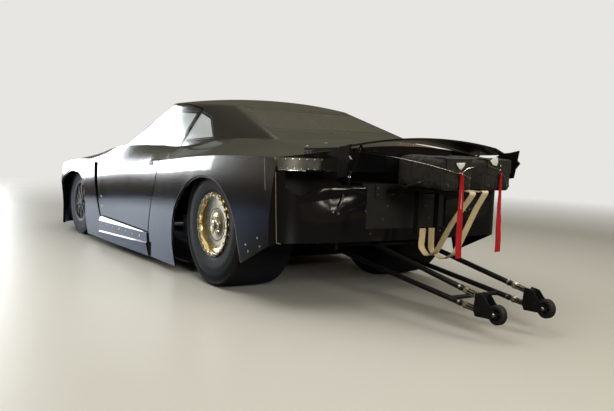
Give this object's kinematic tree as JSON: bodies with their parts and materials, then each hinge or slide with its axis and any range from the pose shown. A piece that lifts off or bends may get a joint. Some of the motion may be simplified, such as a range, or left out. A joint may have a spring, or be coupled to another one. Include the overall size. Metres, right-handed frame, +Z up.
{
  "type": "door-slammer drag racing car",
  "caption": "Low closed drag racing coupe on wide rear slicks and narrow front tyres, with a rear wing, wheelie bar and packed parachutes.",
  "frame": {"origin": "on the floor under the middle of the whole length and width, wheelie bar included", "axes": "+X to the car's left, +Y towards the rear, +Z up"},
  "size_m": [1.9246, 5.817, 1.351],
  "materials": {
    "body_black": "gloss",
    "clear_panel": "clear",
    "frame_black": "satin",
    "bare_metal": "machined",
    "inner_panel": "dull",
    "tyre": "matt",
    "black_plastic": "matt",
    "webbing": "woven",
    "red_fabric": "woven",
    "black_fabric": "woven"
  },
  "bodies": {
    "car": {"front_clip": "body_black", "cowl": "body_black", "door_hinges": "frame_black", "roof_shell": "body_black", "quarter_left": "body_black", "quarter_right": "body_black", "tail_deck": "body_black", "rear_bumper": "body_black", "sills": "body_black", "windscreen": "clear_panel", "rear_window": "clear_panel", "quarter_glass": "clear_panel", "spoiler": "body_black", "spoiler_struts": "frame_black", "floor_pan": "inner_panel", "frame_rails": "frame_black", "main_hoop": "frame_black", "roof_bars": "frame_black", "cage_braces": "frame_black", "dashboard": "inner_panel", "seat": "inner_panel", "engine_block": "bare_metal", "steering_column": "frame_black", "axle_housing": "frame_black", "rear_links": "frame_black", "rear_tubs": "inner_panel", "front_struts": "bare_metal", "front_arms": "frame_black", "steering_rack": "bare_metal", "wheelie_bar": "frame_black", "chute_mount": "frame_black", "chute_packs": "black_fabric", "tail_panel": "inner_panel", "tether_straps": "webbing", "pack_pins": "bare_metal", "safety_ribbons": "red_fabric"},
    "door_left": {"door_left": "body_black", "door_glass_left": "clear_panel"},
    "door_right": {"door_right": "body_black", "door_glass_right": "clear_panel"},
    "rear_wheel_left": {"rear_wheel_left": "bare_metal", "slick_left": "tyre"},
    "rear_wheel_right": {"rear_wheel_right": "bare_metal", "slick_right": "tyre"},
    "knuckle_left": {"knuckle_left": "bare_metal"},
    "knuckle_right": {"knuckle_right": "bare_metal"},
    "front_wheel_left": {"front_wheel_left": "bare_metal", "front_tyre_left": "tyre"},
    "front_wheel_right": {"front_wheel_right": "bare_metal", "front_tyre_right": "tyre"},
    "bar_wheel_left": {"bar_wheel_left": "black_plastic"},
    "bar_wheel_right": {"bar_wheel_right": "black_plastic"},
    "steering_wheel": {"steering_wheel": "black_plastic"},
    "rack_bar": {"rack_bar": "bare_metal"}
  },
  "joints": [
    {"name": "steer_left", "type": "hinge", "parent": "car", "child": "knuckle_left", "pos_m": [0.71, -2.0355, 0.33], "axis": [0, 0, 1], "range_deg": [-15, 15]},
    {"name": "steer_right", "type": "hinge", "parent": "car", "child": "knuckle_right", "pos_m": [-0.71, -2.0355, 0.33], "axis": [0, 0, 1], "range_deg": [-15, 15]},
    {"name": "rack_slide", "type": "slide", "parent": "car", "child": "rack_bar", "axis": [1, 0, 0], "range_m": [-0.032, 0.032]},
    {"name": "steering_wheel_turn", "type": "hinge", "parent": "car", "child": "steering_wheel", "pos_m": [0.3, -0.6055, 0.79], "axis": [0, 0.9703, 0.2419], "range_deg": [-181, 181]},
    {"name": "door_left_swing", "type": "hinge", "parent": "car", "child": "door_left", "pos_m": [0.888, -1.3855, 0.525], "axis": [0, 0, -1], "range_deg": [0, 62]},
    {"name": "door_right_swing", "type": "hinge", "parent": "car", "child": "door_right", "pos_m": [-0.888, -1.3855, 0.525], "axis": [0, 0, 1], "range_deg": [0, 62]},
    {"name": "rear_wheel_left_spin", "type": "hinge", "parent": "car", "child": "rear_wheel_left", "pos_m": [0.698, 0.8845, 0.43], "axis": [1, 0, 0], "continuous": true},
    {"name": "rear_wheel_right_spin", "type": "hinge", "parent": "car", "child": "rear_wheel_right", "pos_m": [-0.698, 0.8845, 0.43], "axis": [1, 0, 0], "continuous": true},
    {"name": "front_wheel_left_spin", "type": "hinge", "parent": "knuckle_left", "child": "front_wheel_left", "pos_m": [0.805, -2.0355, 0.33], "axis": [1, 0, 0], "continuous": true},
    {"name": "front_wheel_right_spin", "type": "hinge", "parent": "knuckle_right", "child": "front_wheel_right", "pos_m": [-0.805, -2.0355, 0.33], "axis": [1, 0, 0], "continuous": true},
    {"name": "bar_wheel_left_spin", "type": "hinge", "parent": "car", "child": "bar_wheel_left", "pos_m": [0.2, 2.8535, 0.151], "axis": [1, 0, 0], "continuous": true},
    {"name": "bar_wheel_right_spin", "type": "hinge", "parent": "car", "child": "bar_wheel_right", "pos_m": [-0.2, 2.8535, 0.151], "axis": [1, 0, 0], "continuous": true}
  ],
  "couplings": [
    {"joint": "steer_right", "follows": "steer_left", "ratio": 1},
    {"joint": "rack_slide", "follows": "steer_left", "m_per_rad": 0.12},
    {"joint": "steering_wheel_turn", "follows": "steer_left", "ratio": 12}
  ]
}
